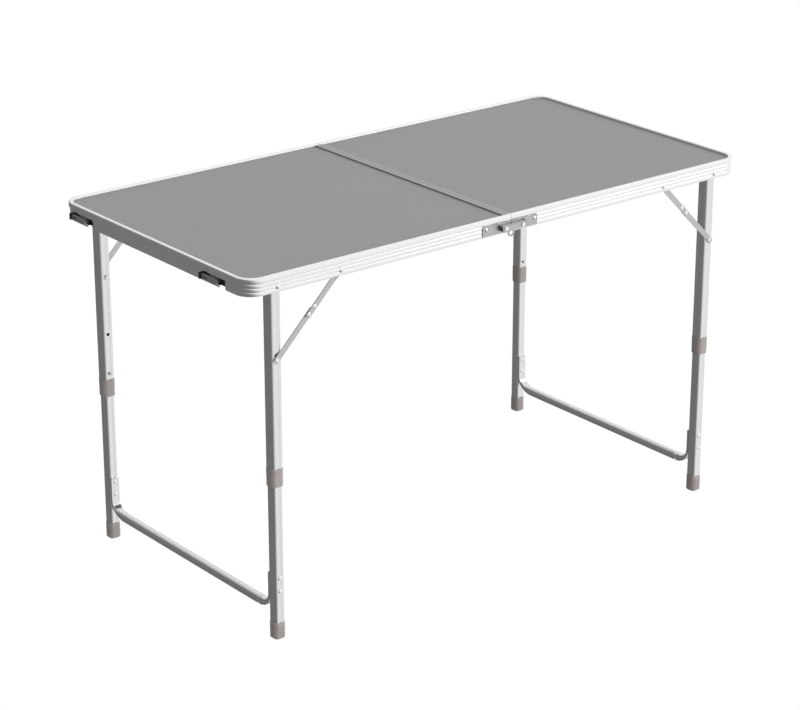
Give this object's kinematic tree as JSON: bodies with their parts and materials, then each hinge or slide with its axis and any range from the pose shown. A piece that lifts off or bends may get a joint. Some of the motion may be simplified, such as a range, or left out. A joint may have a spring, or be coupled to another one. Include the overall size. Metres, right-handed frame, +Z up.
{
  "type": "folding picnic table",
  "caption": "Folding picnic table: two framed tabletop halves hinged across the middle, telescopic fluted legs with crossbars, folding braces, joint locks and closing catches.",
  "frame": {"origin": "on the ground, below the middle of the open table", "axes": "+X along the table towards the half with the carry handle, +Y towards the back long side, +Z up"},
  "size_m": [1.2108, 0.6206, 0.709],
  "materials": {
    "aluminium_tube": "bright drawn aluminium, satin",
    "panel_board": "hardboard with a matt grey laminate",
    "taupe_plastic": "moulded, fine ribs",
    "black_plastic": "moulded black",
    "bright_steel": "set rivets",
    "plated_steel": "zinc plated, pressed",
    "spring_steel": "bare wire and strip"
  },
  "bodies": {
    "left_half": {"left_edge_rail": "aluminium_tube", "left_joint_rail": "aluminium_tube", "left_panel": "panel_board", "left_leg_pivot_rivets": "bright_steel", "left_brace_pivot_rivets": "bright_steel", "left_hinge_leaves": "plated_steel", "hinge_pins": "bright_steel", "left_hinge_rivets": "bright_steel", "left_lock_plates": "plated_steel", "left_lock_rivets": "bright_steel", "lock_pivot_studs": "bright_steel", "catch_housings": "black_plastic", "near_catch_spring": "spring_steel", "far_catch_spring": "spring_steel"},
    "right_half": {"right_edge_rail": "aluminium_tube", "right_joint_rail": "aluminium_tube", "right_panel": "panel_board", "right_leg_pivot_rivets": "bright_steel", "right_brace_pivot_rivets": "bright_steel", "right_hinge_leaves": "plated_steel", "right_hinge_rivets": "bright_steel", "right_lock_plates": "plated_steel", "right_lock_rivets": "bright_steel", "lock_catch_studs": "bright_steel", "catch_strikes": "plated_steel", "strike_rivets": "bright_steel", "handle_brackets": "black_plastic"},
    "front_lock": {"front_lock_lever": "plated_steel"},
    "back_lock": {"back_lock_lever": "plated_steel"},
    "near_catch": {"near_catch_tongue": "plated_steel"},
    "far_catch": {"far_catch_tongue": "plated_steel"},
    "handle": {"carry_handle": "black_plastic"},
    "left_leg_frame": {"left_front_upper_leg": "aluminium_tube", "left_back_upper_leg": "aluminium_tube", "left_leg_collars": "taupe_plastic", "left_brace_leg_rivets": "bright_steel"},
    "left_foot_frame": {"left_front_lower_leg": "aluminium_tube", "left_back_lower_leg": "aluminium_tube", "left_crossbar": "aluminium_tube", "left_crossbar_rivets": "bright_steel", "left_feet": "taupe_plastic"},
    "left_upper_links": {"left_upper_brace_links": "aluminium_tube", "left_brace_link_rivets": "bright_steel"},
    "left_lower_links": {"left_lower_brace_links": "aluminium_tube"},
    "left_front_clip": {"left_front_snap_clip": "spring_steel"},
    "left_back_clip": {"left_back_snap_clip": "spring_steel"},
    "right_leg_frame": {"right_front_upper_leg": "aluminium_tube", "right_back_upper_leg": "aluminium_tube", "right_leg_collars": "taupe_plastic", "right_brace_leg_rivets": "bright_steel"},
    "right_foot_frame": {"right_front_lower_leg": "aluminium_tube", "right_back_lower_leg": "aluminium_tube", "right_crossbar": "aluminium_tube", "right_crossbar_rivets": "bright_steel", "right_feet": "taupe_plastic"},
    "right_upper_links": {"right_upper_brace_links": "aluminium_tube", "right_brace_link_rivets": "bright_steel"},
    "right_lower_links": {"right_lower_brace_links": "aluminium_tube"},
    "right_front_clip": {"right_front_snap_clip": "spring_steel"},
    "right_back_clip": {"right_back_snap_clip": "spring_steel"}
  },
  "joints": [
    {"name": "half_fold", "type": "hinge", "parent": "left_half", "child": "right_half", "pos_m": [0, 0, 0.6755], "axis": [0, 1, 0], "range_deg": [0, 74]},
    {"name": "left_leg_fold", "type": "hinge", "parent": "left_half", "child": "left_leg_frame", "pos_m": [-0.531, 0, 0.6855], "axis": [0, -1, 0], "range_deg": [0, 87.5]},
    {"name": "left_leg_height", "type": "slide", "parent": "left_leg_frame", "child": "left_foot_frame", "axis": [0, 0, 1], "range_m": [0, 0.172]},
    {"name": "left_upper_link_turn", "type": "hinge", "parent": "left_half", "child": "left_upper_links", "pos_m": [-0.393, 0, 0.6855], "axis": [0, -1, 0], "range_deg": [-44.6, 0]},
    {"name": "left_lower_link_turn", "type": "hinge", "parent": "left_leg_frame", "child": "left_lower_links", "pos_m": [-0.531, 0, 0.5475], "axis": [0, -1, 0], "range_deg": [0, 44.6]},
    {"name": "left_front_button_press", "type": "slide", "parent": "left_foot_frame", "child": "left_front_clip", "axis": [0, -1, 0], "range_m": [0, 0.0032], "stiffness_N_per_m": 900, "deforming": ["left_front_snap_clip"]},
    {"name": "left_back_button_press", "type": "slide", "parent": "left_foot_frame", "child": "left_back_clip", "axis": [0, 1, 0], "range_m": [0, 0.0032], "stiffness_N_per_m": 900, "deforming": ["left_back_snap_clip"]},
    {"name": "right_leg_fold", "type": "hinge", "parent": "right_half", "child": "right_leg_frame", "pos_m": [0.531, 0, 0.6855], "axis": [0, 1, 0], "range_deg": [0, 87.5]},
    {"name": "right_leg_height", "type": "slide", "parent": "right_leg_frame", "child": "right_foot_frame", "axis": [0, 0, 1], "range_m": [0, 0.172]},
    {"name": "right_upper_link_turn", "type": "hinge", "parent": "right_half", "child": "right_upper_links", "pos_m": [0.393, 0, 0.6855], "axis": [0, 1, 0], "range_deg": [-44.6, 0]},
    {"name": "right_lower_link_turn", "type": "hinge", "parent": "right_leg_frame", "child": "right_lower_links", "pos_m": [0.531, 0, 0.5475], "axis": [0, 1, 0], "range_deg": [0, 44.6]},
    {"name": "right_front_button_press", "type": "slide", "parent": "right_foot_frame", "child": "right_front_clip", "axis": [0, -1, 0], "range_m": [0, 0.0032], "stiffness_N_per_m": 900, "deforming": ["right_front_snap_clip"]},
    {"name": "right_back_button_press", "type": "slide", "parent": "right_foot_frame", "child": "right_back_clip", "axis": [0, 1, 0], "range_m": [0, 0.0032], "stiffness_N_per_m": 900, "deforming": ["right_back_snap_clip"]},
    {"name": "front_lock_lift", "type": "hinge", "parent": "left_half", "child": "front_lock", "pos_m": [-0.019, -0.305, 0.688], "axis": [0, -1, 0], "range_deg": [0, 90]},
    {"name": "back_lock_lift", "type": "hinge", "parent": "left_half", "child": "back_lock", "pos_m": [-0.019, 0.305, 0.688], "axis": [0, -1, 0], "range_deg": [0, 90]},
    {"name": "near_catch_slide", "type": "slide", "parent": "left_half", "child": "near_catch", "axis": [0, 1, 0], "range_m": [0, 0.01], "stiffness_N_per_m": 400, "deforming": ["near_catch_spring"]},
    {"name": "far_catch_slide", "type": "slide", "parent": "left_half", "child": "far_catch", "axis": [0, 1, 0], "range_m": [0, 0.01], "stiffness_N_per_m": 400, "deforming": ["far_catch_spring"]},
    {"name": "handle_swing", "type": "hinge", "parent": "right_half", "child": "handle", "pos_m": [0.6029, 0, 0.693], "axis": [0, -1, 0], "range_deg": [0, 90]}
  ],
  "couplings": [
    {"joint": "left_upper_link_turn", "follows": "left_leg_fold", "ratio": -0.5083},
    {"joint": "left_lower_link_turn", "follows": "left_leg_fold", "ratio": 0.5083},
    {"joint": "right_upper_link_turn", "follows": "right_leg_fold", "ratio": -0.5083},
    {"joint": "right_lower_link_turn", "follows": "right_leg_fold", "ratio": 0.5083}
  ]
}
